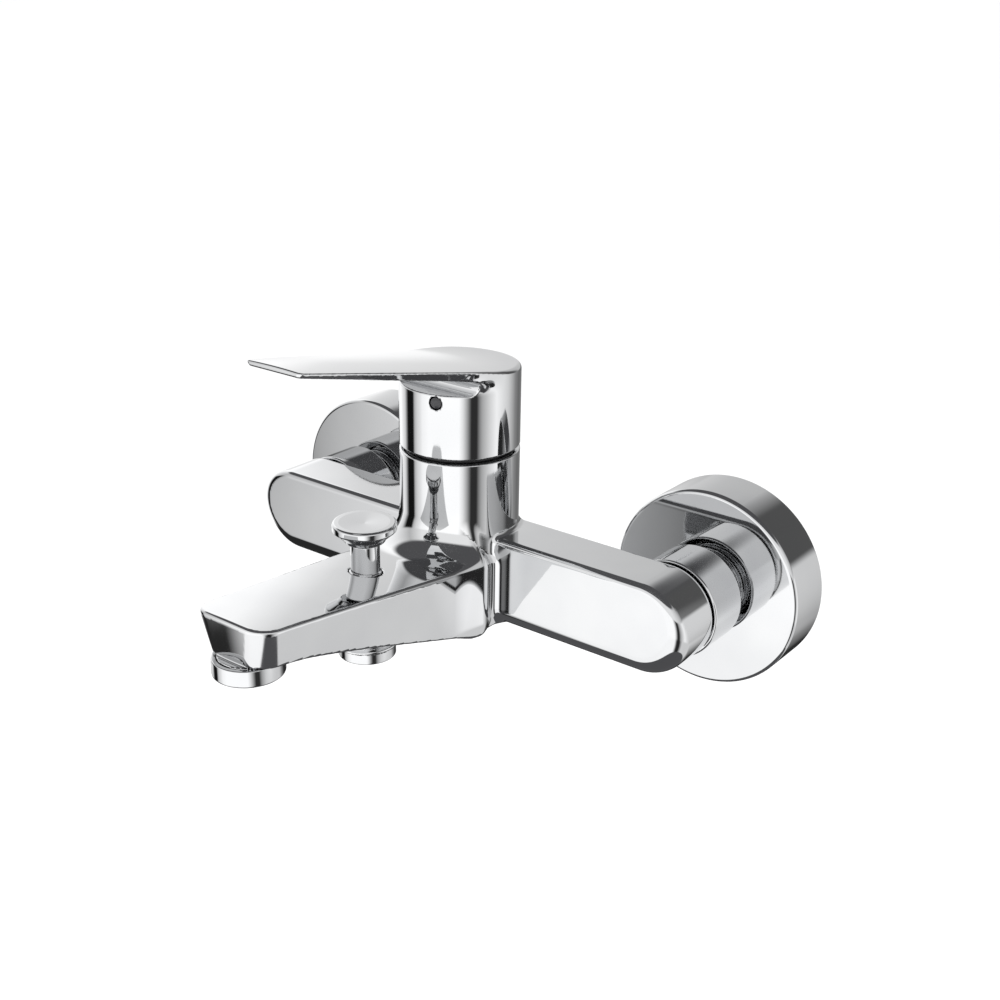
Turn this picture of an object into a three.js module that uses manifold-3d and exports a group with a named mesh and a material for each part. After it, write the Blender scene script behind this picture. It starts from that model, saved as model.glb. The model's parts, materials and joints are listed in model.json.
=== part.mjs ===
// A wall mounted single-lever bath mixer with a pull-up diverter, as an assembly of its real pieces.
// Millimetres, +Z up. The origin is on the wall face, midway between the two inlets. -Y points into the room.
import * as THREE from "three";
import { mergeVertices } from "three/addons/utils/BufferGeometryUtils.js";
import Module from "manifold-3d";

const wasm = await Module();
wasm.setup();

// ---- Driving dimensions ----
const GAP = 0.3; // clearance between neighbouring pieces
const ROUND = 36; // sides of a large turned piece
const SMALL = 20; // sides of a small turned piece

const INLET_X = 75; // half of the 150 mm inlet spacing
const BAR = { front: -62, back: -41, bottom: -15, top: 17, endX: 76, corner: 7 };
const TOWER = { y: -55.7, r: 20.2, bore: 17.8, floor: 14, rim: 43.7 };
const SPOUT = {
  rootHalf: 20,
  tipHalf: 15.3,
  tipY: -161.5,
  tipCorner: 6.5,
  topAtTip: 19.6,
  topAtRoot: 11.5,
  bottomAtTip: 5.5,
  levelFromY: -150.7, // the underside is level from here to the tip
  undercut: 1.7,
  draft: 0.55, // how much narrower than the top the sides would be at the bar's underside, at the tip
};
const DIVERTER_Y = -102.6;
const AERATOR_Y = -153;
const HUB = { r: 20.2, bore: 18.6, bottom: 45.3, ceiling: 62, frontRim: 66.8 };
const PIVOT = { y: 6, z: 46 }; // the axis that the lever tilts about, from the tower's axis
const RELIEF = { start: 11, slope: 18 }; // at the back of the hub, from the tower's axis and in degrees
const LEVER = {
  tipY: -138,
  tipHalf: 11,
  topAtTip: 89,
  hubTop: 73.6,
  slope: 0.19,
  underTip: 87.5,
  underRoot: 73.4,
};
const ROSETTE = { r: 34.2, depth: 18.8, wall: 1.5, hole: 13.6 };
const NUT = { r: 16.7, near: 22.6, far: 39.2 };
const ECCENTRIC = 7.5; // offset between the two ends of a wall union
const G12 = 10.35; // radius of a G1/2 male thread
const G34 = 13.1; // radius of a G3/4 male thread

// ---- Shape helpers: each returns a closed geometry, turned or extruded along its own axis ----
const deg = THREE.MathUtils.degToRad;

// A profile of [radius, z] points turned about Z.
function turned(profile, sides = ROUND) {
  const points = profile.map(([r, z]) => new THREE.Vector2(r, z));
  return new THREE.LatheGeometry(points, sides).rotateX(Math.PI / 2);
}

function rod(r, z0, z1, sides = SMALL) {
  return turned([[0, z0], [r, z0], [r, z1], [0, z1]], sides);
}

function ring(inner, outer, z0, z1, sides = ROUND) {
  return turned([[inner, z0], [outer, z0], [outer, z1], [inner, z1], [inner, z0]], sides);
}

function block(x0, x1, y0, y1, z0, z1) {
  const box = new THREE.BoxGeometry(x1 - x0, y1 - y0, z1 - z0);
  return box.translate((x0 + x1) / 2, (y0 + y1) / 2, (z0 + z1) / 2);
}

// A shape drawn in X, Y and raised from z0 to z1.
function raised(shape, z0, z1, curveSegments = 10) {
  const settings = { depth: z1 - z0, bevelEnabled: false, curveSegments };
  return new THREE.ExtrudeGeometry(shape, settings).translate(0, 0, z0);
}

// A shape drawn in Y, Z and carried along X from -half to half.
function acrossX(shape, half, curveSegments = 8) {
  const settings = { depth: 2 * half, bevelEnabled: false, curveSegments };
  const toYZ = new THREE.Matrix4().makeBasis(
    new THREE.Vector3(0, 1, 0),
    new THREE.Vector3(0, 0, 1),
    new THREE.Vector3(1, 0, 0),
  );
  return new THREE.ExtrudeGeometry(shape, settings).translate(0, 0, -half).applyMatrix4(toYZ);
}

// The same, for a shape drawn in X, Z and carried along Y from y0 to y1.
function alongY(shape, y0, y1, curveSegments = 12) {
  const settings = { depth: y1 - y0, bevelEnabled: false, curveSegments };
  return new THREE.ExtrudeGeometry(shape, settings).rotateX(Math.PI / 2).translate(0, y1, 0);
}

// A straight round drilling from one point to another.
function drilling(r, from, to, sides = SMALL) {
  const a = new THREE.Vector3(...from);
  const b = new THREE.Vector3(...to);
  const along = b.clone().sub(a);
  const up = new THREE.Vector3(0, 0, 1);
  const turn = new THREE.Quaternion().setFromUnitVectors(up, along.clone().normalize());
  const place = new THREE.Matrix4().compose(a, turn, new THREE.Vector3(1, 1, 1));
  return rod(r, 0, along.length(), sides).applyMatrix4(place);
}

function polygon(points) {
  return new THREE.Shape(points.map(([x, y]) => new THREE.Vector2(x, y)));
}

// ---- Joining and cutting ----
function solid(geometry) {
  const bare = geometry.index ? geometry.toNonIndexed() : geometry.clone();
  bare.deleteAttribute("normal");
  bare.deleteAttribute("uv");
  const merged = mergeVertices(bare, 1e-4);
  const index = merged.index.array;
  const kept = [];
  for (let i = 0; i < index.length; i += 3) {
    const [a, b, c] = [index[i], index[i + 1], index[i + 2]];
    if (a !== b && b !== c && a !== c) kept.push(a, b, c);
  }
  const vertProperties = merged.attributes.position.array;
  const make = (triangles) =>
    new wasm.Manifold(new wasm.Mesh({ numProp: 3, vertProperties, triVerts: new Uint32Array(triangles) }));
  const made = make(kept);
  return made.volume() < 0 ? make(kept.reverse()) : made;
}

function geometryOf(manifold) {
  const mesh = manifold.getMesh();
  const vertices = new Float32Array(mesh.numVert * 3);
  for (let i = 0; i < mesh.numVert; i++) {
    vertices.set(mesh.vertProperties.subarray(i * mesh.numProp, i * mesh.numProp + 3), i * 3);
  }
  const geometry = new THREE.BufferGeometry();
  geometry.setAttribute("position", new THREE.BufferAttribute(vertices, 3));
  geometry.setIndex(new THREE.BufferAttribute(new Uint32Array(mesh.triVerts), 1));
  geometry.computeVertexNormals();
  return geometry;
}

// The first geometry with every cutter taken out of it.
function cut(geometry, ...cutters) {
  return geometryOf(cutters.reduce((made, cutter) => made.subtract(solid(cutter)), solid(geometry)));
}

function join(...geometries) {
  return geometryOf(geometries.map(solid).reduce((made, next) => made.add(next)));
}

function common(a, b) {
  return geometryOf(solid(a).intersect(solid(b)));
}

// ---- Materials ----
function finish(color, roughness, metalness) {
  return new THREE.MeshStandardMaterial({ color, roughness, metalness });
}
const CHROME = finish(0xd9dbde, 0.06, 1);
const BRASS = finish(0xc2a05c, 0.35, 1);
const STEEL = finish(0xb9bbbd, 0.3, 1);
const BLACK = finish(0x0b0b0c, 0.5, 0);
const WHITE = finish(0xe8e8e4, 0.45, 0);
const GREY = finish(0x6d7176, 0.5, 0);
const CERAMIC = finish(0xf2efe6, 0.2, 0);
const RUBBER = finish(0x1a1a1a, 0.85, 0);
const INDEX = finish(0x3a3c40, 0.35, 0);

const faucet = new THREE.Group();
const tower = new THREE.Group();
tower.position.set(0, TOWER.y, 0);
const diverter = new THREE.Group();
diverter.position.set(0, DIVERTER_Y, 0);
const aerator = new THREE.Group();
aerator.position.set(0, AERATOR_Y, 0);
faucet.add(tower, diverter, aerator);

function place(group, name, geometry, material) {
  const mesh = new THREE.Mesh(geometry, material);
  mesh.name = name;
  group.add(mesh);
  return mesh;
}

// ---- The cast body: cross bar, tower and spout ----
const PORTS = [[-8, 4], [8, 4], [0, -8]]; // cartridge ports about the tower axis: two inlets, one outlet
const WATERWAY_Y = -49;

function barOutline() {
  const { bottom, top, endX } = BAR;
  const middle = (bottom + top) / 2;
  const r = (top - bottom) / 2;
  const shape = new THREE.Shape();
  shape.moveTo(-endX, -bottom);
  shape.absarc(-endX, -middle, r, Math.PI / 2, (3 * Math.PI) / 2, false);
  shape.absarc(endX, -middle, r, -Math.PI / 2, Math.PI / 2, false);
  return shape;
}

function barSection() {
  const { front, back, bottom, top, corner } = BAR;
  const shape = new THREE.Shape();
  shape.moveTo(front, top - 1);
  shape.lineTo(front, bottom + corner);
  shape.absarc(front + corner, bottom + corner, corner, Math.PI, 1.5 * Math.PI, false);
  shape.absarc(back - corner, bottom + corner, corner, 1.5 * Math.PI, 2 * Math.PI, false);
  shape.lineTo(back, top - 2);
  shape.lineTo(back - 2, top);
  shape.lineTo(front + 1, top);
  return shape;
}

function spoutPlan() {
  const { rootHalf, tipHalf, tipY, tipCorner } = SPOUT;
  const shape = new THREE.Shape();
  shape.moveTo(rootHalf, TOWER.y);
  shape.lineTo(rootHalf, BAR.front - 6);
  shape.lineTo(tipHalf, tipY + tipCorner);
  shape.absarc(tipHalf - tipCorner, tipY + tipCorner, tipCorner, 0, -Math.PI / 2, true);
  shape.absarc(tipCorner - tipHalf, tipY + tipCorner, tipCorner, -Math.PI / 2, -Math.PI, true);
  shape.lineTo(-rootHalf, BAR.front - 6);
  shape.lineTo(-rootHalf, TOWER.y);
  return shape;
}

// The plan raised into a prism, with its lower outline drawn in more and more towards the tip.
function spoutPrism() {
  const low = BAR.bottom;
  const prism = raised(spoutPlan(), low, SPOUT.topAtTip + 5);
  const at = prism.attributes.position;
  for (let i = 0; i < at.count; i++) {
    const along = Math.max(0, (BAR.front - 6 - at.getY(i)) / (BAR.front - 6 - SPOUT.tipY));
    if (at.getZ(i) < low + 1) at.setX(i, at.getX(i) * (1 - SPOUT.draft * along));
  }
  return prism;
}

function spoutProfile() {
  const { tipY, topAtTip, topAtRoot, bottomAtTip, levelFromY, undercut } = SPOUT;
  const rootFront = TOWER.y - TOWER.r;
  return polygon([
    [TOWER.y, BAR.bottom],
    [rootFront + 4, BAR.bottom],
    [levelFromY, bottomAtTip],
    [tipY + undercut, bottomAtTip],
    [tipY + 1, topAtTip - 2],
    [tipY, topAtTip - 0.8],
    [tipY + 1, topAtTip],
    [rootFront, topAtRoot],
    [TOWER.y, topAtRoot],
  ]);
}

function body() {
  const bar = common(alongY(barOutline(), BAR.front, BAR.back), acrossX(barSection(), INLET_X + 20));
  const spout = common(spoutPrism(), acrossX(spoutProfile(), 30));
  const column = rod(TOWER.r, BAR.bottom + 4, TOWER.rim, ROUND).translate(0, TOWER.y, 0);
  const aeratorFace = rod(11.2, -5, SPOUT.bottomAtTip, ROUND).translate(0, AERATOR_Y, 0);
  const aeratorBoss = rod(9.2, 2.9, SPOUT.bottomAtTip + 0.1, ROUND).translate(0, AERATOR_Y, 0);
  const sides = [-1, 1];
  return cut(
    join(bar, cut(spout, aeratorFace), column, aeratorBoss),
    rod(TOWER.bore, TOWER.floor, TOWER.rim + 5, ROUND).translate(0, TOWER.y, 0),
    ...sides.map((s) => drilling(9.8, [s * INLET_X, BAR.back - 11.5, 0], [s * INLET_X, BAR.back + 5, 0])),
    ...sides.map((s) => drilling(5, [s * 5, WATERWAY_Y, 0], [s * INLET_X, WATERWAY_Y, 0], 12)),
    ...PORTS.map(([x, y]) => drilling(3.2, [x, TOWER.y + y, 0], [x, TOWER.y + y, TOWER.floor + 1], 12)),
    drilling(4.5, [0, TOWER.y - 6, 0], [0, DIVERTER_Y, 0], 12),
    rod(12.4, -20, -6.8, ROUND).translate(0, DIVERTER_Y, 0), // spot face, with room for the hose's nut
    rod(9.6, -20, -3.6, ROUND).translate(0, DIVERTER_Y, 0), // thread for the shower outlet
    rod(8.4, -6, 5, ROUND).translate(0, DIVERTER_Y, 0), // valve chamber
    rod(6.3, 4, 9, SMALL).translate(0, DIVERTER_Y, 0), // chamber above the upper seat
    rod(5.5, 8, 30, SMALL).translate(0, DIVERTER_Y, 0), // thread for the bonnet
    drilling(3, [0, DIVERTER_Y - 3, 7], [0, AERATOR_Y + 2, 12], 12),
    rod(7.3, 0, 5.1, ROUND).translate(0, AERATOR_Y, 0), // seat of the aerator's insert
    rod(5.2, 5, 14, SMALL).translate(0, AERATOR_Y, 0),
  );
}
place(faucet, "body", body(), CHROME);

// ---- The cartridge, from the floor of the tower's bore upwards ----
const portHoles = (r, z0, z1) => PORTS.map(([x, y]) => rod(r, z0, z1, 12).translate(x, y, 0));
const SLIDE_OFFSET = 2.4; // the ceramic slider sits this far behind the axis when the lever is shut

place(tower, "base_gasket", cut(rod(16.5, 14.3, 15.8, ROUND), ...portHoles(3, 14, 16)), RUBBER);
place(tower, "cartridge_base", cut(rod(17.3, 16.1, 21.5, ROUND), ...portHoles(3, 16, 22)), GREY);
place(tower, "fixed_disc", cut(rod(14, 21.8, 25.8, ROUND), ...portHoles(2.8, 21, 27)), CERAMIC);
const movingDisc = cut(rod(9.4, 26.1, 29.6, ROUND), rod(6, 26, 27.8));
place(tower, "moving_disc", movingDisc, CERAMIC).position.y = SLIDE_OFFSET;

function discCarrier() {
  const pocket = block(-3.1, 3.1, -3.1 - SLIDE_OFFSET, 3.1 - SLIDE_OFFSET, 30.9, 35);
  return cut(rod(10.2, 29.9, 34, ROUND), pocket);
}
place(tower, "disc_carrier", discCarrier(), GREY).position.y = SLIDE_OFFSET;

const housingProfile = [
  [14.4, 21.8], [17.3, 21.8], [17.3, 36], [13.5, 36], [13.5, 43], [11.5, 43], [11.5, 34.6], [14.4, 34.6],
  [14.4, 21.8],
];
place(tower, "cartridge_housing", turned(housingProfile), WHITE);

const STEM = { halfX: 3.8, halfY: 3.6, top: 69.2, pinR: 1.5 };
const pinAlongX = (r, half) => drilling(r, [-half, PIVOT.y, PIVOT.z], [half, PIVOT.y, PIVOT.z], 12);

function rotator() {
  const slot = block(-STEM.halfX - 0.4, STEM.halfX + 0.4, -8.6, 9.4, 34, 51);
  return cut(rod(11.2, 34.9, 50, ROUND), slot, pinAlongX(STEM.pinR + GAP, 12));
}
place(tower, "rotator", rotator(), GREY);
place(tower, "pivot_pin", pinAlongX(STEM.pinR, 9), STEEL);

function stem() {
  const { halfX, halfY, top, pinR } = STEM;
  const shank = block(-halfX, halfX, -halfY, halfY, 43, top);
  const lug = block(-halfX, halfX, 0, PIVOT.y + 2.3, PIVOT.z - 3, PIVOT.z + 3);
  const tail = block(-halfX, halfX, -2.4, 2.4, 34.5, 43.5);
  const toe = block(-2.6, 2.6, -2.3, 2.3, 31.3, 35);
  return cut(join(shank, lug, tail, toe), pinAlongX(pinR + GAP, 12));
}
place(tower, "stem", stem(), BRASS);

const nutProfile = [
  [13.9, 36.3], [17.4, 36.3], [17.4, 40.8], [15.3, 40.8], [15.3, 44.8], [13.9, 44.8], [13.9, 36.3],
];
place(tower, "retaining_nut", turned(nutProfile), BRASS);

const glideProfile = [
  [17, 41.1], [17.5, 41.1], [17.5, 44], [18.1, 44], [18.1, 45.2], [17, 45.2], [17, 41.1],
];
place(tower, "glide_ring", turned(glideProfile), BLACK);

// A domed sleeve over the nut.
function coverProfile() {
  const centreZ = 46;
  const outer = 17.3;
  const inner = 16.2;
  const openingR = 11;
  const steps = 8;
  const arc = (r, fromZ) => {
    const start = Math.asin(fromZ / r);
    const end = Math.acos(openingR / r);
    return Array.from({ length: steps + 1 }, (_, i) => {
      const a = start + ((end - start) * i) / steps;
      return [r * Math.cos(a), centreZ + r * Math.sin(a)];
    });
  };
  const inside = arc(inner, 0.2).reverse();
  return [[15.6, 41.1], [16.7, 41.1], [16.7, 45.8], ...arc(outer, 0), ...inside, [15.6, 46], [15.6, 41.1]];
}
place(tower, "cartridge_cover", turned(coverProfile()), CHROME);

// ---- The lever handle ----
const SCREW = { z: 64, angle: deg(16.5), bore: 2.2, r: 1.9 }; // a little to the right of the hub's front

// Height of the lever's top at y in the part's frame: level over the hub, then rising evenly to the tip.
function leverTop(y) {
  const { tipY, topAtTip, hubTop, slope } = LEVER;
  const softness = 0.9;
  const rise = topAtTip - slope * (y - tipY) - hubTop;
  return hubTop + softness * Math.log(1 + Math.exp(rise / softness));
}

// A round drilling or pin along the screw's line, from one distance to another from the tower's axis.
function alongScrew(r, from, to, sides = 14) {
  const at = (d) => [d * Math.sin(SCREW.angle), -d * Math.cos(SCREW.angle), SCREW.z];
  return drilling(r, at(from), at(to), sides);
}

function leverPlan() {
  const { tipY, tipHalf } = LEVER;
  const corner = 2;
  const shape = new THREE.Shape();
  shape.moveTo(HUB.r, TOWER.y);
  shape.lineTo(HUB.r - 0.4, TOWER.y - HUB.r);
  shape.lineTo(tipHalf, tipY + corner);
  shape.absarc(tipHalf - corner, tipY + corner, corner, 0, -Math.PI / 2, true);
  shape.absarc(corner - tipHalf, tipY + corner, corner, -Math.PI / 2, -Math.PI, true);
  shape.lineTo(0.4 - HUB.r, TOWER.y - HUB.r);
  shape.lineTo(-HUB.r, TOWER.y);
  shape.absarc(0, TOWER.y, HUB.r, Math.PI, 0, true);
  return shape;
}

function leverProfile() {
  const { tipY, underTip, underRoot } = LEVER;
  const front = TOWER.y - HUB.r;
  const back = TOWER.y + HUB.r;
  const notchEnd = front + 8.5;
  const top = [tipY - 1, -118, -98, -82, -74, -68, -62, -56, -50, back - 2].map((y) => [y, leverTop(y)]);
  return polygon([
    [notchEnd, HUB.frontRim],
    [notchEnd + 1.5, HUB.frontRim + 2],
    [notchEnd + 1, underRoot - 2.6],
    [front, underRoot],
    [tipY, underTip],
    ...top,
    [back + 1, leverTop(back) - 3],
    [TOWER.y + HUB.r + 1, HUB.frontRim - 2],
    [TOWER.y, HUB.frontRim - 2],
  ]);
}

// The skirt is cut away at the back, so that it clears the tower's rim as the lever lifts.
function skirtProfile() {
  const reliefStart = TOWER.y + RELIEF.start;
  const back = TOWER.y + HUB.r + 1;
  const rise = Math.tan(deg(RELIEF.slope)) * (back - reliefStart);
  return polygon([
    [TOWER.y - HUB.r - 1, HUB.bottom],
    [reliefStart, HUB.bottom],
    [back, HUB.bottom + rise],
    [back, HUB.frontRim],
    [TOWER.y - HUB.r - 1, HUB.frontRim],
  ]);
}

function handle() {
  const outline = (z0, z1) => rod(HUB.r, z0, z1, ROUND).translate(0, TOWER.y, 0);
  const plate = common(raised(leverPlan(), 50, 100), acrossX(leverProfile(), 30));
  const skirt = common(outline(40, 80), acrossX(skirtProfile(), 30));
  const boss = rod(6.4, 60.4, 68, ROUND).translate(0, TOWER.y, 0);
  const { halfX, halfY, top } = STEM;
  const sx = halfX + GAP;
  const sy = halfY + GAP;
  return cut(
    join(cut(join(plate, skirt), rod(HUB.bore, 40, HUB.ceiling, ROUND).translate(0, TOWER.y, 0)), boss),
    block(-sx, sx, TOWER.y - sy, TOWER.y + sy, 60, top + GAP),
    alongScrew(SCREW.bore, 0, 30).translate(0, TOWER.y, 0),
  ).translate(0, -TOWER.y, 0);
}
place(tower, "lever_handle", handle(), CHROME);

place(tower, "handle_screw", cut(alongScrew(SCREW.r, 4.9, 11.9), alongScrew(1.1, 9, 13, 6)), STEEL);
place(tower, "index_plug", alongScrew(SCREW.r, 17.2, 20), INDEX);

// ---- The diverter: bonnet, plunger and shower outlet ----
const KNOB = { under: 24.4, rimLow: 28.7, rimHigh: 31, r: 10.3, footR: 6.2 };

const bonnetProfile = [
  [2.3, 9.2], [5.2, 9.2], [5.2, 14.2], [4.7, 14.7], [4.7, 23.9], [2.3, 23.9], [2.3, 9.2],
];
place(diverter, "diverter_bonnet", turned(bonnetProfile, 28), CHROME);

const knobProfile = [
  [0, KNOB.under],
  [KNOB.footR, KNOB.under],
  [KNOB.footR + 0.6, KNOB.under + 0.6],
  [KNOB.r, KNOB.rimLow],
  [KNOB.r, KNOB.rimHigh - 0.8],
  [KNOB.r - 0.8, KNOB.rimHigh],
  [KNOB.r - 2, KNOB.rimHigh],
  [KNOB.r - 3.4, KNOB.rimHigh - 0.6],
  [0, KNOB.rimHigh - 0.9],
];
place(diverter, "diverter_knob", cut(turned(knobProfile), rod(2.3, 22, 28.6)), CHROME);
place(diverter, "diverter_rod", rod(2, -0.9, 28.3), STEEL);
const pistonProfile = [
  [0, -3.6], [5.4, -3.6], [5.4, -3.1], [7.8, -3.1], [7.8, -1.7], [3.4, -1.7], [3.4, -1.2], [0, -1.2],
];
place(diverter, "diverter_piston", turned(pistonProfile, 28), BRASS);
place(diverter, "lower_valve_seal", ring(5.7, 7.8, -4.7, -3.4, 28), RUBBER);
place(diverter, "upper_valve_seal", ring(5, 7.8, -1.4, -0.4, 28), RUBBER);

class Helix extends THREE.Curve {
  constructor(r, z0, z1, turns) {
    super();
    Object.assign(this, { r, z0, z1, turns });
  }
  getPoint(t, target = new THREE.Vector3()) {
    const a = 2 * Math.PI * this.turns * t;
    return target.set(this.r * Math.cos(a), this.r * Math.sin(a), this.z0 + (this.z1 - this.z0) * t);
  }
}

function spring() {
  const wire = new THREE.Shape().absarc(0, 0, 0.4, 0, 2 * Math.PI, false);
  const coil = new Helix(3.3, -0.5, 8.3, 3.5);
  const settings = { steps: 48, curveSegments: 6, bevelEnabled: false, extrudePath: coil };
  return new THREE.ExtrudeGeometry(wire, settings);
}
place(diverter, "diverter_spring", spring(), STEEL);

const outletProfile = [
  [6.8, -14.8], [8.9, -14.8], [9.3, -14.4], [9.3, -11.7], [G12, -11.1], [G12, -7.8], [9.3, -7.2], [9.3, -3.9],
  [8.1, -3.9], [8.1, -5.2], [6.8, -5.2], [6.8, -14.8],
];
place(diverter, "shower_outlet", turned(outletProfile), CHROME);

// ---- The aerator ----
const aeratorProfile = [
  [8, -0.3], [10.4, -0.3], [10.9, 0.2], [10.9, 5.2], [9.5, 5.2], [9.5, 0.6], [8, 0.6], [8, -0.3],
];
place(aerator, "aerator_ring", turned(aeratorProfile), CHROME);

function aeratorInsert() {
  const holes = [[0, 0]];
  for (const [count, radius] of [[6, 2.7], [12, 5.4]]) {
    for (let i = 0; i < count; i++) {
      const a = (2 * Math.PI * i) / count;
      holes.push([radius * Math.cos(a), radius * Math.sin(a)]);
    }
  }
  const profile = [[0, 0.1], [7, 0.1], [7, 0.9], [9.2, 0.9], [9.2, 1.5], [7, 1.5], [7, 3.9], [0, 3.9]];
  const sleeve = turned(profile, 28);
  return cut(sleeve, ...holes.map(([x, y]) => rod(0.95, -1, 5, 6).translate(x, y, 0)));
}
place(aerator, "aerator_insert", aeratorInsert(), WHITE);
place(aerator, "aerator_screen", rod(7, 4.2, 4.8, 28), STEEL);
place(aerator, "aerator_seal", ring(7.3, 9.1, 1.8, 2.6, 28), RUBBER);

// ---- The two wall unions. In each group, z runs from the wall into the room and y is up. ----
function rosetteProfile() {
  const { r, depth, wall, hole } = ROSETTE;
  const inside = depth - wall;
  const lip = depth - 5;
  return [
    [hole, inside], [hole + 1.8, inside], [hole + 1.8, lip], [hole + 2.8, lip], [hole + 2.8, inside],
    [r - wall, inside], [r - wall, 0], [r, 0], [r, depth - 1], [r - 1, depth], [hole, depth], [hole, inside],
  ];
}

const unionNutProfile = [
  [G34 + GAP, NUT.near], [NUT.r - 0.7, NUT.near], [NUT.r, NUT.near + 0.7], [NUT.r, NUT.far - 0.7],
  [NUT.r - 0.7, NUT.far], [10.1, NUT.far], [10.1, NUT.far - 3.4], [G34 + GAP, NUT.far - 3.4],
  [G34 + GAP, NUT.near],
];
const tailProfile = [
  [6.6, 31.4], [12.4, 31.4], [12.4, 35.4], [9.7, 35.4], [9.7, 40.7], [9.4, 41.2], [9.4, 51.5], [6.6, 51.5],
  [6.6, 31.4],
];

function wallUnion() {
  const roomEnd = rod(G34, 8, 28.4, 28);
  const flange = rod(15.2, 4, 8.4, 6);
  const wallEnd = rod(G12, -16, 6, 28).translate(0, -ECCENTRIC, 0);
  return cut(
    join(roomEnd, flange, wallEnd),
    rod(7.5, 5, 30, SMALL),
    rod(7, -18, 6, SMALL).translate(0, -ECCENTRIC, 0),
  );
}

for (const [side, x] of [["left", -INLET_X], ["right", INLET_X]]) {
  const group = new THREE.Group();
  group.position.set(x, 0, 0);
  group.rotation.x = Math.PI / 2;
  faucet.add(group);
  const { depth, hole } = ROSETTE;
  place(group, `rosette_${side}`, turned(rosetteProfile(), 48), CHROME);
  place(group, `rosette_ring_${side}`, ring(G34 + GAP, hole + 1.5, depth - 4.6, depth - 1.8), RUBBER);
  place(group, `wall_union_${side}`, wallUnion(), CHROME);
  place(group, `inlet_washer_${side}`, ring(8, 12.6, 28.7, 31.1), RUBBER);
  place(group, `inlet_filter_${side}`, rod(7.6, 29.2, 30.2), STEEL);
  place(group, `union_nut_${side}`, turned(unionNutProfile), CHROME);
  place(group, `inlet_tail_${side}`, turned(tailProfile), CHROME);
}

export default faucet;
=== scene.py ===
import json
import math

import bpy
import numpy as np
from mathutils import Matrix, Vector


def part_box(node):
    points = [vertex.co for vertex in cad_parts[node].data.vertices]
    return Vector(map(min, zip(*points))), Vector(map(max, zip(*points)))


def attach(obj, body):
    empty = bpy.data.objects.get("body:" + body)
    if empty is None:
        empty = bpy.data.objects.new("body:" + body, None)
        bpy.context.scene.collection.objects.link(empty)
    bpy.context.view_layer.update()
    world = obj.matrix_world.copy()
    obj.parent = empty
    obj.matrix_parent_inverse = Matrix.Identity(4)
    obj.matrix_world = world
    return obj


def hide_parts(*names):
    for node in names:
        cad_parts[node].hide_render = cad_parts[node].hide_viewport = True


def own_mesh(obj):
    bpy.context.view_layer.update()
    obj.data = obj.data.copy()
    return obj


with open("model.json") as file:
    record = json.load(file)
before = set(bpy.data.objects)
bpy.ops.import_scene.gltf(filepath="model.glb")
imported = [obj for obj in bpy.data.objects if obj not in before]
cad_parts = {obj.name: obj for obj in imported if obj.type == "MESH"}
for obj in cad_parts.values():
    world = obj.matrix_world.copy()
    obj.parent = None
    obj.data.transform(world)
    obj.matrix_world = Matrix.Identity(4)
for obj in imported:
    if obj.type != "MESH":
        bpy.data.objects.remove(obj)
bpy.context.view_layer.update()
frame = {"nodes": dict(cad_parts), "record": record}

MM = 0.001  # every shape below is worked out in millimetres and stored in metres


# ---------------------------------------------------------------- helpers: materials
def new_material(name, color, roughness, metallic=0.0):
    mat = bpy.data.materials.new(name)
    mat.use_nodes = True
    shader = mat.node_tree.nodes["Principled BSDF"]
    shader.inputs["Base Color"].default_value = (*color, 1)
    shader.inputs["Roughness"].default_value = roughness
    shader.inputs["Metallic"].default_value = metallic
    return mat, mat.node_tree, shader


def noise(tree, scale, detail=3.0):
    """Object-space noise at a scale in waves per metre."""
    coords = tree.nodes.new("ShaderNodeTexCoord")
    texture = tree.nodes.new("ShaderNodeTexNoise")
    texture.inputs["Scale"].default_value = scale
    texture.inputs["Detail"].default_value = detail
    tree.links.new(coords.outputs["Object"], texture.inputs["Vector"])
    return texture.outputs["Fac"]


def spread(tree, value, low, high):
    """Maps a 0..1 value onto low..high."""
    node = tree.nodes.new("ShaderNodeMapRange")
    node.inputs["From Min"].default_value = 0.3
    node.inputs["From Max"].default_value = 0.7
    node.inputs["To Min"].default_value = low
    node.inputs["To Max"].default_value = high
    tree.links.new(value, node.inputs["Value"])
    return node.outputs["Result"]


def bump(tree, shader, height, strength, distance):
    node = tree.nodes.new("ShaderNodeBump")
    node.inputs["Strength"].default_value = strength
    node.inputs["Distance"].default_value = distance
    tree.links.new(height, node.inputs["Height"])
    tree.links.new(node.outputs["Normal"], shader.inputs["Normal"])


def tinted(tree, shader, value, dark, light):
    """Base colour that wanders between two close tones."""
    ramp = tree.nodes.new("ShaderNodeValToRGB")
    ramp.color_ramp.elements[0].position = 0.3
    ramp.color_ramp.elements[0].color = (*dark, 1)
    ramp.color_ramp.elements[1].position = 0.7
    ramp.color_ramp.elements[1].color = (*light, 1)
    tree.links.new(value, ramp.inputs["Fac"])
    tree.links.new(ramp.outputs["Color"], shader.inputs["Base Color"])


def chrome(name, rough_low, rough_high, wave):
    """Polished plating: faint cloudiness in the polish, and a trace of the casting's unevenness."""
    mat, tree, shader = new_material(name, (0.6, 0.605, 0.61), rough_low, 1.0)
    tree.links.new(spread(tree, noise(tree, 90), rough_low, rough_high), shader.inputs["Roughness"])
    tinted(tree, shader, noise(tree, 40, 2), (0.585, 0.59, 0.6), (0.625, 0.63, 0.635))
    bump(tree, shader, noise(tree, wave, 1), 0.02, 0.0004)
    return mat


def plain(name, dark, light, rough_low, rough_high, metallic=0.0, scale=600, strength=0.1):
    """Moulded, machined or cast stock with a fine grain."""
    mat, tree, shader = new_material(name, light, rough_low, metallic)
    grain = noise(tree, scale, 4)
    tree.links.new(spread(tree, grain, rough_low, rough_high), shader.inputs["Roughness"])
    tinted(tree, shader, noise(tree, scale / 8, 3), dark, light)
    bump(tree, shader, grain, strength, 0.0002)
    return mat


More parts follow.
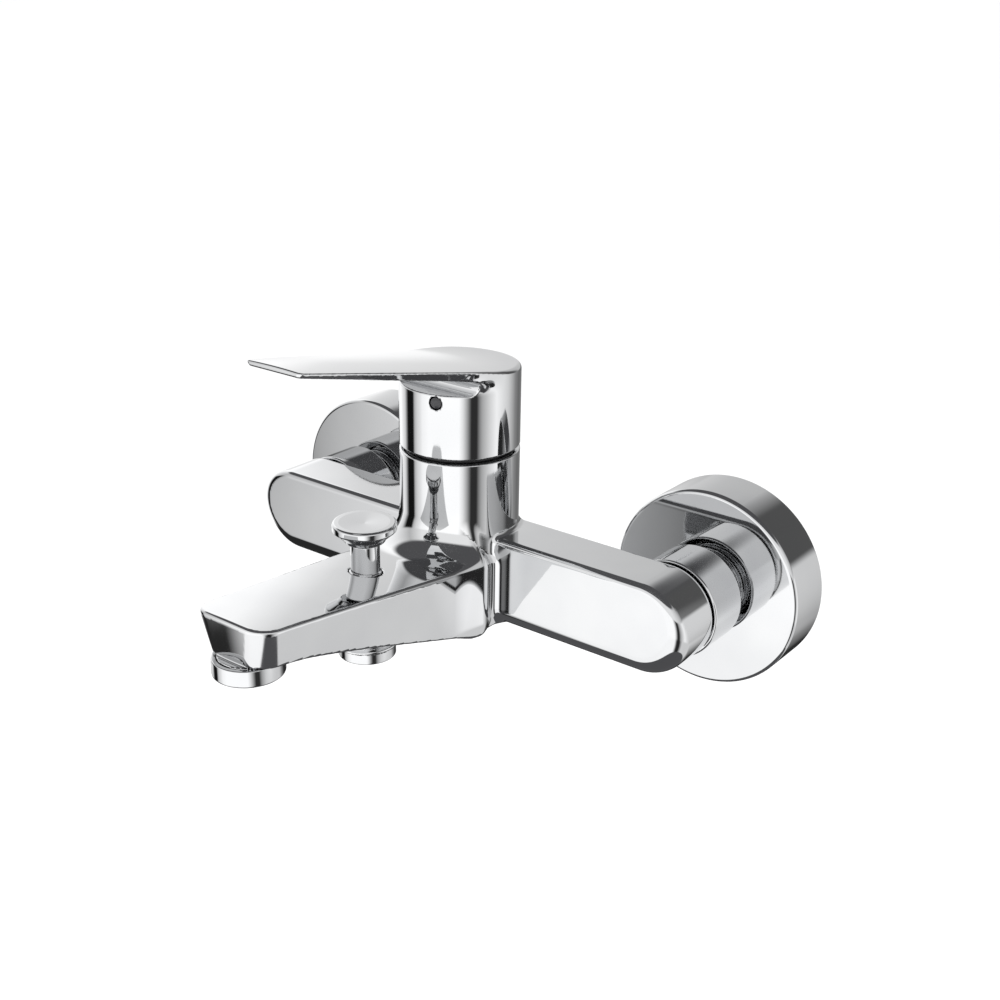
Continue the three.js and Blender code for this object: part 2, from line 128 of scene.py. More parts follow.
CHROME = chrome("polished_chrome", 0.035, 0.06, 25)
CHROME_TURNED = chrome("turned_chrome", 0.045, 0.08, 60)
CHROME_DRAWN = chrome("drawn_chrome", 0.035, 0.055, 18)
STEEL = plain("bright_steel", (0.5, 0.51, 0.52), (0.62, 0.63, 0.64), 0.22, 0.34, 1.0, 900, 0.06)
BRASS = plain("machined_brass", (0.66, 0.5, 0.24), (0.78, 0.62, 0.34), 0.2, 0.34, 1.0, 700, 0.08)
BLACK = plain("black_plastic", (0.006, 0.006, 0.007), (0.014, 0.014, 0.015), 0.38, 0.52)
GREY = plain("grey_plastic", (0.16, 0.17, 0.18), (0.21, 0.22, 0.23), 0.4, 0.55)
WHITE = plain("white_plastic", (0.68, 0.68, 0.66), (0.76, 0.76, 0.74), 0.35, 0.5)
INDEX = plain("index_plastic", (0.03, 0.031, 0.034), (0.05, 0.05, 0.055), 0.22, 0.34)
RUBBER = plain("black_rubber", (0.012, 0.012, 0.012), (0.022, 0.022, 0.021), 0.7, 0.9, 0.0, 400, 0.2)
CERAMIC = plain("lapped_ceramic", (0.78, 0.76, 0.7), (0.84, 0.82, 0.77), 0.1, 0.2, 0.0, 300, 0.02)

SLOT_MATERIAL = {
    "chromed_brass": CHROME_TURNED,
    "chromed_zinc": CHROME,
    "chromed_steel": CHROME_DRAWN,
    "steel": STEEL,
    "brass": BRASS,
    "ceramic_disc": CERAMIC,
    "white_plastic": WHITE,
    "grey_plastic": GREY,
    "black_plastic": BLACK,
    "index_plastic": INDEX,
    "rubber": RUBBER,
}
NODE_SLOT = {part["node"]: part["material_slot"] for part in frame["record"]["subparts"]}
BODIES = frame["record"]["behaviour"]["bodies"]
NODE_BODY = {node: body for body, nodes in BODIES.items() for node in nodes}

for node, obj in frame["nodes"].items():
    for material_slot in obj.material_slots:
        material_slot.material = SLOT_MATERIAL[NODE_SLOT[node]]


# ---------------------------------------------------------------- helpers: meshes
def add_piece(name, node, points, faces, normals=None, material=None):
    """Puts a mesh in place of a CAD node, on the node's body and with its finish."""
    mesh = bpy.data.meshes.new(name)
    mesh.from_pydata([tuple(p) for p in np.asarray(points) * MM], [], faces)
    mesh.update()
    mesh.polygons.foreach_set("use_smooth", np.ones(len(mesh.polygons), dtype=bool))
    if normals is None:
        mesh.set_sharp_from_angle(angle=math.radians(32))
    else:
        mesh.normals_split_custom_set_from_vertices([tuple(n) for n in normals])
    obj = bpy.data.objects.new(name, mesh)
    bpy.context.scene.collection.objects.link(obj)
    mesh.materials.append(material or SLOT_MATERIAL[NODE_SLOT[node]])
    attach(obj, NODE_BODY[node])
    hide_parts(node)
    return obj


# A solid is described by its signed distance: a function of x, y, z that is negative inside.
def either(a, b, r):
    """Union with a round fillet of radius r."""
    return np.maximum(r, np.minimum(a, b)) - np.hypot(np.maximum(r - a, 0), np.maximum(r - b, 0))


def both(a, b, r):
    """Intersection with a rounded edge of radius r."""
    return np.minimum(-r, np.maximum(a, b)) + np.hypot(np.maximum(r + a, 0), np.maximum(r + b, 0))


def without(a, b, r=0.25):
    return both(a, -b, r)


def upright(x, y, z, centre, r, low, high):
    """A vertical cylinder."""
    ends = np.abs(z - (low + high) / 2) - (high - low) / 2
    return np.maximum(np.hypot(x - centre[0], y - centre[1]) - r, ends)


def ease(t):
    t = np.clip(t, 0, 1)
    return t * t * (3 - 2 * t)


def gradient(distance, p, step=0.02):
    columns = []
    for axis in range(3):
        shift = np.zeros(3)
        shift[axis] = step
        columns.append(distance(*(p + shift).T) - distance(*(p - shift).T))
    return np.stack(columns, axis=1) / (2 * step)


def settle(distance, p, reach):
    """Moves points onto the surface."""
    for _ in range(4):
        g = gradient(distance, p)
        d = distance(*p.T)
        move = g * (d / np.maximum((g * g).sum(axis=1), 0.05))[:, None]
        length = np.linalg.norm(move, axis=1)
        p = p - move * np.minimum(1, reach / np.maximum(length, 1e-9))[:, None]
    return p


def skin(distance, low, high, step):
    """The surface of a solid as an even mesh of quads, with the solid's own normals."""
    counts = [int(math.ceil((b - a) / step)) + 1 for a, b in zip(low, high)]
    x, y, z = (a + step * np.arange(n) for a, n in zip(low, counts))
    inside = distance(x[:, None, None], y[None, :, None], z[None, None, :]) < 0
    corners = sum(
        inside[i:counts[0] - 1 + i, j:counts[1] - 1 + j, k:counts[2] - 1 + k].astype(np.int8)
        for i in (0, 1) for j in (0, 1) for k in (0, 1)
    )
    mixed = (corners > 0) & (corners < 8)
    cells = np.stack(np.nonzero(mixed), axis=1)
    number = np.full(mixed.shape, -1)
    number[mixed] = np.arange(len(cells))
    points = np.asarray(low) + step * (cells + 0.5)

    quads = []
    for axis in range(3):
        order = [axis, (axis + 1) % 3, (axis + 2) % 3]
        solid = inside.transpose(order)
        ids = number.transpose(order)
        a, b = solid[:-1, 1:-1, 1:-1], solid[1:, 1:-1, 1:-1]
        i, j, k = np.nonzero(a != b)
        around = [ids[i, j, k], ids[i, j + 1, k], ids[i, j + 1, k + 1], ids[i, j, k + 1]]
        found = np.stack(around, axis=1)
        backwards = ~a[i, j, k]
        found[backwards] = found[backwards][:, ::-1]
        quads.append(found)
    quads = np.concatenate(quads)

    points = settle(distance, points, step)
    starts = np.concatenate([quads.ravel(), np.roll(quads, -1, axis=1).ravel()])
    ends = np.concatenate([np.roll(quads, -1, axis=1).ravel(), quads.ravel()])
    degree = np.bincount(starts, minlength=len(points))[:, None]
    for _ in range(3):
        total = np.stack([np.bincount(starts, points[ends, c], len(points)) for c in range(3)], axis=1)
        points = settle(distance, 0.5 * points + 0.5 * total / np.maximum(degree, 1), step / 2)
    normals = gradient(distance, points)
    normals /= np.maximum(np.linalg.norm(normals, axis=1), 1e-9)[:, None]
    return points, quads.tolist(), normals


def rounded(corners, closed=True, segments=5):
    """A polygon of (r, z, radius) corners as points and outward normals, each corner rounded.
    The corners run anticlockwise seen with r to the right and z up."""
    points, normals = [], []
    count = len(corners)
    for i, (r, z, radius) in enumerate(corners):
        here = np.array([r, z], float)
        before = np.array(corners[i - 1][:2], float)
        after = np.array(corners[(i + 1) % count][:2], float)
        if not closed and i in (0, count - 1):
            edge = (after - here) if i == 0 else (here - before)
            edge /= np.linalg.norm(edge)
            points.append(here)
            normals.append(np.array([edge[1], -edge[0]]))  # a flat end that meets the axis
            continue
        u = (before - here) / np.linalg.norm(before - here)
        v = (after - here) / np.linalg.norm(after - here)
        angle = math.acos(np.clip(u @ v, -1, 1))
        reach = radius / math.tan(angle / 2)
        first, last = here + u * reach, here + v * reach
        middle = here + (u + v) / np.linalg.norm(u + v) * radius / math.sin(angle / 2)
        turn = u[1] * v[0] - u[0] * v[1]
        outward = 1 if turn > 0 else -1
        for s in range(segments + 1):
            spot = first + (last - first) * s / segments - middle
            spot = spot / np.linalg.norm(spot)
            points.append(middle + spot * radius)
            normals.append(spot * outward)
    return np.array(points), np.array(normals)


def turned(corners, closed=True, sides=128, segments=5):
    """A rounded profile turned about Z."""
    profile, profile_normals = rounded(corners, closed, segments)
    a = 2 * np.pi * np.arange(sides) / sides
    n = len(profile)
    around = np.stack([np.cos(a), np.sin(a)], axis=1)

    def swept(rows):
        flat = np.repeat(rows[:, 0], sides)[:, None] * np.tile(around, (n, 1))
        return np.concatenate([flat, np.repeat(rows[:, 1], sides)[:, None]], axis=1)

    points, normals = swept(profile), swept(profile_normals)
    faces = []
    for i in range(n if closed else n - 1):
        j = (i + 1) % n
        for s in range(sides):
            t = (s + 1) % sides
            faces.append((i * sides + s, i * sides + t, j * sides + t, j * sides + s))
    if not closed:
        faces.append(tuple(range(sides))[::-1])
        faces.append(tuple((n - 1) * sides + s for s in range(sides)))
    return points, faces, normals


def stand(points, centre):
    """Moves points that were turned about Z to their place."""
    return points + np.array(centre)


def from_wall(points, normals, x):
    """Turns a piece made about Z so that its axis runs from the wall into the room, at height 0."""
    turn = np.array([[1, 0, 0], [0, 0, 1], [0, -1, 0]])
    return points @ turn + np.array([x, 0, 0]), normals @ turn


# ---------------------------------------------------------------- sizes, from the CAD frame
def box_mm(node):
    low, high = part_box(node)
    return np.array(low) / MM, np.array(high) / MM


BODY_LOW, BODY_HIGH = box_mm("body")
KNOB_LOW, KNOB_HIGH = box_mm("diverter_knob")
LEVER_LOW, LEVER_HIGH = box_mm("lever_handle")
AERATOR_LOW, AERATOR_HIGH = box_mm("aerator_ring")
ROSETTE_LOW, ROSETTE_HIGH = box_mm("rosette_right")

TOWER_R = LEVER_HIGH[0]
TOWER_Y = BODY_HIGH[1] - TOWER_R
TOWER_TOP = BODY_HIGH[2]
BAR_BOTTOM = BODY_LOW[2]
BAR_TOP, BAR_FRONT, BAR_BACK = 17.0, -62.0, -41.0
BAR_END = BODY_HIGH[0] - (BAR_TOP - BAR_BOTTOM) / 2
INLET_X = (ROSETTE_LOW[0] + ROSETTE_HIGH[0]) / 2
KNOB_Y = (KNOB_LOW[1] + KNOB_HIGH[1]) / 2
AERATOR_Y = (AERATOR_LOW[1] + AERATOR_HIGH[1]) / 2
BAR_EDGE, BAR_EDGE_EXTRA = 2.2, 5.4  # the front edge's radius at the top, and what it gains lower down
TIP_Y, TIP_TOP, TIP_UNDER = -161.5, 19.6, 5.5
TIP_CORNER, TIP_LEAN = 6.5, 0.12
SPOUT_ROOT_Y, SPOUT_ROOT_HALF, SPOUT_TAPER = -68, 20.1, 4.8
SPOUT_SLOPE, SPOUT_DRAFT, SPOUT_CROWN = 0.0945, 0.24, 0.7
UNDER_SLOPE, UNDER_LEVEL_Y = 0.263, -150.7
TOWER_FOOT = -11
CARTRIDGE_BORE_R, CARTRIDGE_FLOOR = 17.8, 14
INLET_BORE_R, INLET_BORE_END = 9.8, -52.5
SPOT_FACE_R, SPOT_FACE_Z = 12.4, -6.8
DIVERTER_BORES = ((9.6, -30, -3.6), (8.4, -6, 5), (6.3, 4, 9), (5.5, 8, 40))  # radius, low, high
COLLAR_FACE_R, AERATOR_NIPPLE_R, AERATOR_NIPPLE_Z = 11.2, 9.2, 2.9
AERATOR_BORES = ((7.3, 0, 5.1), (5.2, 5, 14))
G12, G34, PITCH = 10.35, 13.1, 1.814


# ---------------------------------------------------------------- body
def spout_shape(x, y, z):
    """Flat tapering spout: crowned top, sides drawn in below, square front with rounded corners."""
    along = np.clip((SPOUT_ROOT_Y - y) / (SPOUT_ROOT_Y - TIP_Y), 0, 1)
    half = SPOUT_ROOT_HALF - SPOUT_TAPER * along
    ridge = TIP_TOP - SPOUT_SLOPE * (y - TIP_Y)
    top = ridge - SPOUT_CROWN * (x / 18) ** 2
    side = (np.abs(x) - half + SPOUT_DRAFT * ease(along * 1.3) * (ridge - z)) * 0.98
    front = (TIP_Y - y + 0.003 * x * x + TIP_LEAN * (TIP_TOP - z)) * 0.985
    sloping = (-UNDER_SLOPE * (y - UNDER_LEVEL_Y) + TIP_UNDER - z) * 0.967
    under = either(sloping, TIP_UNDER - z, 3.0)
    plan = np.maximum(both(side, front, TIP_CORNER), y + 50)
    return both(both(plan, z - top, 1.3), np.maximum(under, BAR_BOTTOM - z), 0.9)


def bar_shape(x, y, z):
    middle = (BAR_TOP + BAR_BOTTOM) / 2
    outline = np.hypot(np.maximum(np.abs(x) - BAR_END, 0), z - middle) - (BAR_TOP - middle)
    front = both(outline, BAR_FRONT - y, BAR_EDGE + BAR_EDGE_EXTRA * ease((BAR_TOP - z) / 30))
    return both(front, y - BAR_BACK, 2.0)


def body_shape(x, y, z):
    """The casting: bar, spout and tower run into each other, and the bores are cut out of them."""
    ends = np.maximum(z - TOWER_TOP, TOWER_FOOT - z)
    tower = both(np.hypot(x, y - TOWER_Y) - TOWER_R, ends, 0.5)
    lower = either(spout_shape(x, y, z), bar_shape(x, y, z), 3.0)
    flare = 1.8 + 10.0 * ease((BAR_FRONT - y) / 8)
    d = either(lower, tower, flare)
    tip = (0, AERATOR_Y)
    d = without(d, upright(x, y, z, tip, COLLAR_FACE_R, -9, TIP_UNDER), 0.2)
    d = np.minimum(d, upright(x, y, z, tip, AERATOR_NIPPLE_R, AERATOR_NIPPLE_Z, TIP_UNDER + 0.1))
    d = without(d, upright(x, y, z, (0, TOWER_Y), CARTRIDGE_BORE_R, CARTRIDGE_FLOOR, 60), 0.3)
    for side in (-INLET_X, INLET_X):
        d = without(d, np.maximum(np.hypot(x - side, z) - INLET_BORE_R, INLET_BORE_END - y))
    d = without(d, upright(x, y, z, (0, KNOB_Y), SPOT_FACE_R, -30, SPOT_FACE_Z), 0.4)
    for centre_y, bores in ((KNOB_Y, DIVERTER_BORES), (AERATOR_Y, AERATOR_BORES)):
        for r, low, high in bores:
            d = np.maximum(d, -upright(x, y, z, (0, centre_y), r, low, high))
    return d


def shaped(name, node, distance, low, high, step, put=None, material=None):
    """A piece from its signed distance; put moves the finished points and normals to their place."""
    points, faces, normals = skin(distance, low, high, step)
    if put:
        points, normals = put(points, normals)
    add_piece(name, node, points, faces, normals, material)


shaped("body_casting", "body", body_shape, (BODY_LOW[0] - 2, BODY_LOW[1] - 2, -18),
       (BODY_HIGH[0] + 2, -33, 46.5), 0.75, material=CHROME)


# ---------------------------------------------------------------- lever handle
HUB_TOP, LEVER_TIP_TOP, LEVER_SLOPE = 72.0, 89.4, 0.19
HUB_RIM, SKIRT_BOTTOM = 66.8, 45.3
NOTCH_END = TOWER_Y - TOWER_R + 8.5
SCREW_Z, SCREW_ANGLE, SCREW_BORE_R = 64.0, math.radians(16.5), 2.2
BLADE_TAPER, BLADE_LEAN = 0.1133, 0.55
HUB_BORE_R, HUB_BORE_TOP, BOSS_R, BOSS_LOW = 18.6, 62, 6.4, 60.4
SOCKET_HALF = (4.1, 3.9, 5.5)
SKIRT_SLOPE = 0.325


def lever_shape(x, y, z):
    """A round hub whose flat top runs out into the tapering blade, with a slot under its root."""
    hub = np.hypot(x, y - TOWER_Y) - TOWER_R
    tangent = TOWER_Y - 2.3
    rise = (LEVER_TIP_TOP - LEVER_SLOPE * (y - LEVER_LOW[1]) - HUB_TOP) / 0.9
    crown = 0.9 - 1.3 * ease((y + 62) / 26)
    top = HUB_TOP + 0.9 * np.log1p(np.exp(np.clip(rise, -30, 30))) - crown * (x / 20) ** 2
    lean = BLADE_LEAN * ease((NOTCH_END + 2 - y) / 12) * (top - 0.8 - z)
    side = (np.abs(x) - (TOWER_R - 0.14) - BLADE_TAPER * (y - tangent) + lean) * 0.93
    blade = np.where(y > tangent, hub, both(side, LEVER_LOW[1] - y, 1.5))
    flare = ease((z - 66.5) / 6)
    plan = hub + (blade - hub) * flare
    under = 73.4 - 0.227 * (y - (TOWER_Y - TOWER_R))
    edge = 0.7 + 1.1 * ease((y - TOWER_Y + 12) / 22)
    solid = both(plan, (z - top) * 0.98, edge)
    slot = both(y - NOTCH_END, np.maximum((z - under) * 0.975, HUB_RIM - z), 2.0)
    solid = without(solid, slot, 0.45)
    relief = (SKIRT_BOTTOM + SKIRT_SLOPE * np.maximum(0, y - TOWER_Y - 11) - z) * 0.95
    solid = both(solid, relief, 0.35)
    boss = upright(x, y, z, (0, TOWER_Y), BOSS_R, BOSS_LOW, 70)
    hollow = both(upright(x, y, z, (0, TOWER_Y), HUB_BORE_R, 30, HUB_BORE_TOP), -boss, 0.4)
    solid = without(solid, hollow, 0.3)
    half_x, half_y, half_z = SOCKET_HALF
    sides = np.maximum(np.abs(x) - half_x, np.abs(y - TOWER_Y) - half_y)
    socket = np.maximum(sides, np.abs(z - SCREW_Z) - half_z)
    sine, cosine = math.sin(SCREW_ANGLE), math.cos(SCREW_ANGLE)
    across = np.hypot(x * cosine + (y - TOWER_Y) * sine, z - SCREW_Z)
    drilled = np.maximum(across - SCREW_BORE_R, (y - TOWER_Y) * cosine - x * sine)
    return without(np.maximum(solid, -socket), drilled, 0.2)


shaped("lever_blade_and_hub", "lever_handle", lever_shape, (-22.5, LEVER_LOW[1] - 2, 43.5),
       (22.5, -33, 91), 0.5)


# ---------------------------------------------------------------- turned pieces on upright axes
def upright_piece(name, node, corners, y, closed=True, material=None, sides=128):
    points, faces, normals = turned(corners, closed, sides)
    add_piece(name, node, stand(points, (0, y, 0)), faces, normals, material)


def upright_solid(name, node, distance, y, radius, low, high, step):
    """A piece on an upright axis at y, from a signed distance about that axis."""
    reach = radius + 1
    shaped(name, node, distance, (-reach, -reach, low - 1), (reach, reach, high + 1), step,
           lambda points, normals: (stand(points, (0, y, 0)), normals))


def disc(r, low, high, soft=0.3):
    """Corners of a plain round disc, or of a rod."""
    return [(0.02, low, 0), (r, low, soft), (r, high, soft), (0.02, high, 0)]


def band(inner, outer, low, high, soft=0.25):
    return [(inner, low, soft), (outer, low, soft), (outer, high, soft), (inner, high, soft)]


def thread(x, y, z, crest, depth=1.0):
    """A right-handed thread about Z, as a signed distance from its flanks."""
    phase = (z / PITCH - np.arctan2(y, x) / (2 * np.pi)) % 1.0
    groove = ease(np.abs(phase - 0.5) * 2.6 - 0.3)
    return (np.hypot(x, y) - crest + depth * groove) * 0.7


KNOB_TOP, KNOB_UNDER, KNOB_R = KNOB_HIGH[2], KNOB_LOW[2], KNOB_HIGH[0]
upright_piece("diverter_pull_knob", "diverter_knob", [
    (0.02, 28.6, 0), (2.3, 28.6, 0.2), (2.3, KNOB_UNDER, 0.2), (6.3, KNOB_UNDER, 0.7),
    (7.2, KNOB_UNDER + 1.5, 2.5), (KNOB_R, KNOB_TOP - 2.4, 0.9), (KNOB_R, KNOB_TOP, 0.9),
    (KNOB_R - 2.2, KNOB_TOP, 0.6), (0.02, KNOB_TOP - 0.5, 0)], KNOB_Y, False, material=CHROME)
upright_piece("diverter_guide_neck", "diverter_bonnet", [
    (2.3, 9.2, 0.1), (5.2, 9.2, 0.2), (5.2, 14.2, 0.15), (4.7, 14.6, 0.15), (4.7, 23.9, 0.4),
    (2.3, 23.9, 0.2)],
    KNOB_Y)
upright_piece("diverter_pull_rod", "diverter_rod", disc(2, -0.9, 28.3), KNOB_Y, False, sides=48)
upright_piece("diverter_valve_piston", "diverter_piston", [
    (0.02, -3.6, 0), (5.4, -3.6, 0.2), (5.4, -3.1, 0.1), (7.8, -3.1, 0.2), (7.8, -1.7, 0.2),
    (3.4, -1.7, 0.1), (3.4, -1.2, 0.1), (0.02, -1.2, 0)], KNOB_Y, False, sides=96)
upright_piece("diverter_lower_seal", "lower_valve_seal", band(5.7, 7.8, -4.7, -3.4, 0.35), KNOB_Y,
              sides=96)
upright_piece("diverter_upper_seal", "upper_valve_seal", band(5, 7.8, -1.4, -0.4, 0.3), KNOB_Y,
              sides=96)
upright_piece("aerator_collar", "aerator_ring", [
    (8, -0.3, 0.2), (10.9, -0.3, 0.7), (10.9, 5.2, 0.35), (9.5, 5.2, 0.15), (9.5, 0.6, 0.2),
    (8, 0.6, 0.2)],
    AERATOR_Y, material=CHROME)
upright_piece("aerator_gauze", "aerator_screen", disc(7, 4.2, 4.8, 0.15), AERATOR_Y, False, sides=96)
upright_piece("aerator_washer", "aerator_seal", band(7.3, 9.1, 1.8, 2.6, 0.2), AERATOR_Y, sides=96)
upright_piece("tower_glide_ring", "glide_ring", [
    (17, 41.1, 0.1), (17.5, 41.1, 0.1), (17.5, 44, 0.1), (18.1, 44, 0.1), (18.1, 45.2, 0.2),
    (17, 45.2, 0.2)],
    TOWER_Y)
upright_piece("cartridge_clamping_nut", "retaining_nut", [
    (13.9, 36.3, 0.3), (17.4, 36.3, 0.3), (17.4, 40.8, 0.3), (15.3, 40.8, 0.3), (15.3, 44.8, 0.5),
    (13.9, 44.8, 0.3)],
    TOWER_Y)
upright_piece("cartridge_shell", "cartridge_housing", [
    (14.4, 21.8, 0.2), (17.3, 21.8, 0.3), (17.3, 36, 0.5), (13.5, 36, 0.4), (13.5, 43, 0.4),
    (11.5, 43, 0.2), (11.5, 34.6, 0.2), (14.4, 34.6, 0.3)], TOWER_Y)


def dome_corners():
    """The cover's sleeve and dome, with the opening for the stem at the top."""
    centre, outer, inner, opening = 46.0, 17.3, 16.2, 11.0

    def arc(r, start):
        end = math.acos(opening / r)
        return [(r * math.cos(a), centre + r * math.sin(a), 0.05) for a in np.linspace(start, end, 14)]

    sleeve = [(15.6, 41.1, 0.1), (16.7, 41.1, 0.2), (16.7, 45.7, 0.1)]
    return sleeve + arc(outer, 0.0) + arc(inner, 0.02)[::-1] + [(15.6, 46, 0.05)]


upright_piece("cartridge_dome", "cartridge_cover", dome_corners(), TOWER_Y, material=CHROME)


def ports(x, y, z, r):
    """The three water passages through the cartridge."""
    pair = np.minimum(np.hypot(x + 8, y - 4), np.hypot(x - 8, y - 4))
    return np.minimum(pair, np.hypot(x, y + 8)) - r + 0 * z


def ported_disc(name, node, r, low, high, port, step):
    """A disc of the cartridge with the water passages through it."""
    def shape(x, y, z):
        solid = both(np.hypot(x, y) - r, np.maximum(z - high, low - z), 0.3)
        return without(solid, ports(x, y, z, port), 0.2)

    upright_solid(name, node, shape, TOWER_Y, r, low, high, step)


ported_disc("cartridge_port_gasket", "base_gasket", 16.5, 14.3, 15.8, 3, 0.4)
ported_disc("cartridge_foot", "cartridge_base", 17.3, 16.1, 21.5, 3, 0.5)
ported_disc("ceramic_seat_disc", "fixed_disc", 14, 21.8, 25.8, 2.8, 0.45)
SLIDER_Y = TOWER_Y + 2.4
upright_piece("ceramic_slider_disc", "moving_disc", [
    (0.02, 27.8, 0), (6, 27.8, 0.2), (6, 26.1, 0.15), (9.4, 26.1, 0.2), (9.4, 29.6, 0.3),
    (0.02, 29.6, 0)], SLIDER_Y, False)


def carrier_shape(x, y, z):
    """The slider's carrier, with the square pocket that the stem's lower end moves."""
    pocket = np.maximum(np.maximum(np.abs(x) - 3.1, np.abs(y + 2.4) - 3.1), 30.9 - z)
    return without(both(np.hypot(x, y) - 10.2, np.maximum(z - 34, 29.9 - z), 0.3), pocket, 0.2)


upright_solid("slider_carrier", "disc_carrier", carrier_shape, SLIDER_Y, 10.2, 29.9, 34, 0.4)


def rotator_shape(x, y, z):
    d = both(np.hypot(x, y) - 11.2, np.maximum(z - 50, 34.9 - z), 0.4)
    d = without(d, np.maximum(np.abs(x) - 4.2, np.abs(y - 0.4) - 9.0) + 0 * z, 0.25)
    return without(d, np.hypot(y - 6, z - 46) - 1.8 + 0 * x, 0.1)


def stem_shape(x, y, z):
    def bar(half_x, y0, y1, z0, z1, soft):
        wide = both(np.abs(x) - half_x, np.abs(y - (y0 + y1) / 2) - (y1 - y0) / 2, soft)
        return both(wide, np.abs(z - (z0 + z1) / 2) - (z1 - z0) / 2, soft)

    d = np.minimum(bar(3.8, -3.6, 3.6, 43, 69.2, 0.4), bar(3.8, 0, 8.3, 43, 49, 0.4))
    d = np.minimum(d, bar(3.8, -2.4, 2.4, 34.5, 43.5, 0.3))
    d = np.minimum(d, bar(2.6, -2.3, 2.3, 31.3, 35, 0.5))
    return np.maximum(d, 1.8 - np.hypot(y - 6, z - 46))


upright_solid("handle_rotator", "rotator", rotator_shape, TOWER_Y, 11.2, 34.9, 50, 0.4)
upright_solid("handle_stem", "stem", stem_shape, TOWER_Y, 9, 31.3, 69.2, 0.4)


def shower_nipple(x, y, z):
    smooth = np.hypot(x, y) - 9.3
    d = np.minimum(np.maximum(thread(x, y, z, G12), np.abs(z + 9.45) - 1.75), smooth)
    d = both(d, np.maximum(z + 3.9, -14.8 - z), 0.4)
    d = without(d, np.maximum(np.hypot(x, y) - 8.1, -5.2 - z), 0.15)
    return without(d, np.hypot(x, y) - 6.8 + 0 * z, 0.4)


upright_solid("shower_hose_nipple", "shower_outlet", shower_nipple, KNOB_Y, G12, -14.8, -3.9, 0.3)


def aerator_core(x, y, z):
    """The aerator's insert: rings of small holes through a disc with a flange."""
    r = np.hypot(x, y)
    d = both(r - 7, np.maximum(z - 3.9, 0.1 - z), 0.25)
    d = np.minimum(d, both(r - 9.2, np.maximum(z - 1.5, 0.9 - z), 0.15))
    hole = r - 0.95
    for count, radius in ((6, 2.7), (12, 5.4)):
        a = (np.arctan2(y, x) + np.pi / count) % (2 * np.pi / count) - np.pi / count
        hole = np.minimum(hole, np.hypot(r * np.cos(a) - radius, r * np.sin(a)) - 0.95)
    return without(d, hole + 0 * z, 0.15)


upright_solid("aerator_honeycomb", "aerator_insert", aerator_core, AERATOR_Y, 9.2, 0.1, 3.9, 0.3)


# ---------------------------------------------------------------- pieces on slanted or level axes
def laid(points, normals, origin, z_to, x_to):
    """Turns points made about Z: their z runs along z_to and their x along x_to."""
    turn = np.array([x_to, np.cross(z_to, x_to), z_to])
    return points @ turn + np.array(origin), normals @ turn


OUTWARD = (math.sin(SCREW_ANGLE), -math.cos(SCREW_ANGLE), 0)
ACROSS = (math.cos(SCREW_ANGLE), math.sin(SCREW_ANGLE), 0)


def on_screw_line(name, node, points, faces, normals):
    points, normals = laid(points, normals, (0, TOWER_Y, SCREW_Z), OUTWARD, ACROSS)
    add_piece(name, node, points, faces, normals)


on_screw_line("index_cap", "index_plug", *turned([
    (0.02, 17.2, 0), (1.9, 17.2, 0.2), (1.9, 19.7, 0.25), (1.0, 19.95, 0.8),
    (0.02, 20.0, 0)], False, 64))


def grub_screw(x, y, z):
    """Socket set screw: a fine thread and a hexagon socket."""
    phase = (z / 0.7 - np.arctan2(y, x) / (2 * np.pi)) % 1.0
    groove = 0.25 * ease(np.abs(phase - 0.5) * 2)
    d = both(np.hypot(x, y) - 1.9 + groove, np.maximum(z - 11.9, 4.9 - z), 0.25)
    a = (np.arctan2(y, x) + np.pi / 6) % (np.pi / 3) - np.pi / 6
    return np.maximum(d * 0.8, -np.maximum(np.hypot(x, y) * np.cos(a) - 0.95, 9 - z))


on_screw_line("handle_grub_screw", "handle_screw",
              *skin(grub_screw, (-2.6, -2.6, 4), (2.6, 2.6, 13), 0.12))

pin_points, pin_faces, pin_normals = turned(disc(1.5, -9, 9, 0.25), False, 48)
pin_points, pin_normals = laid(pin_points, pin_normals, (0, TOWER_Y + 6, 46), (1, 0, 0), (0, 1, 0))
add_piece("handle_pivot_pin", "pivot_pin", pin_points, pin_faces, pin_normals)


SPRING_R, SPRING_WIRE_R, SPRING_TURNS = 3.3, 0.4, 3.5
SPRING_LOW, SPRING_HIGH = -0.9, 8.7


def spring_wire():
    """A closed coil of round wire with its ends faced off."""
    turns, r, wire = SPRING_TURNS, SPRING_R, SPRING_WIRE_R
    low, high = SPRING_LOW + wire, SPRING_HIGH - wire
    steps, around = 220, 12
    t = np.linspace(0, 1, steps + 1)
    a = 2 * np.pi * turns * t
    centre = np.stack([r * np.cos(a), r * np.sin(a), low + (high - low) * t], axis=1)
    radial = np.stack([np.cos(a), np.sin(a), 0 * a], axis=1)
    along = np.gradient(centre, axis=0)
    along /= np.linalg.norm(along, axis=1)[:, None]
    binormal = np.cross(along, radial)
    points, normals = [], []
    for s in range(around):
        b = 2 * np.pi * s / around
        normals.append(radial * math.cos(b) + binormal * math.sin(b))
        points.append(centre + wire * normals[-1])
    points = np.stack(points, axis=1).reshape(-1, 3)
    normals = np.stack(normals, axis=1).reshape(-1, 3)
    faces = [(i * around + s, i * around + (s + 1) % around, (i + 1) * around + (s + 1) % around,
              (i + 1) * around + s) for i in range(steps) for s in range(around)]
    faces = [f[::-1] for f in faces]
    faces.append(tuple(range(around)))
    faces.append(tuple(steps * around + s for s in range(around))[::-1])
    return stand(points, (0, KNOB_Y, 0)), faces, normals


# The lifted piston presses the spring up against the seat over it. Here the spring is built at rest, on
# a mesh of its own.
spring = add_piece("diverter_return_spring", "diverter_spring", *spring_wire())
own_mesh(spring)


# ---------------------------------------------------------------- wall fittings, left and right
def wall_piece(name, node, corners, x, closed=True, sides=128):
    points, faces, normals = turned(corners, closed, sides)
    points, normals = from_wall(points, normals, x)
    add_piece(name, node, points, faces, normals)


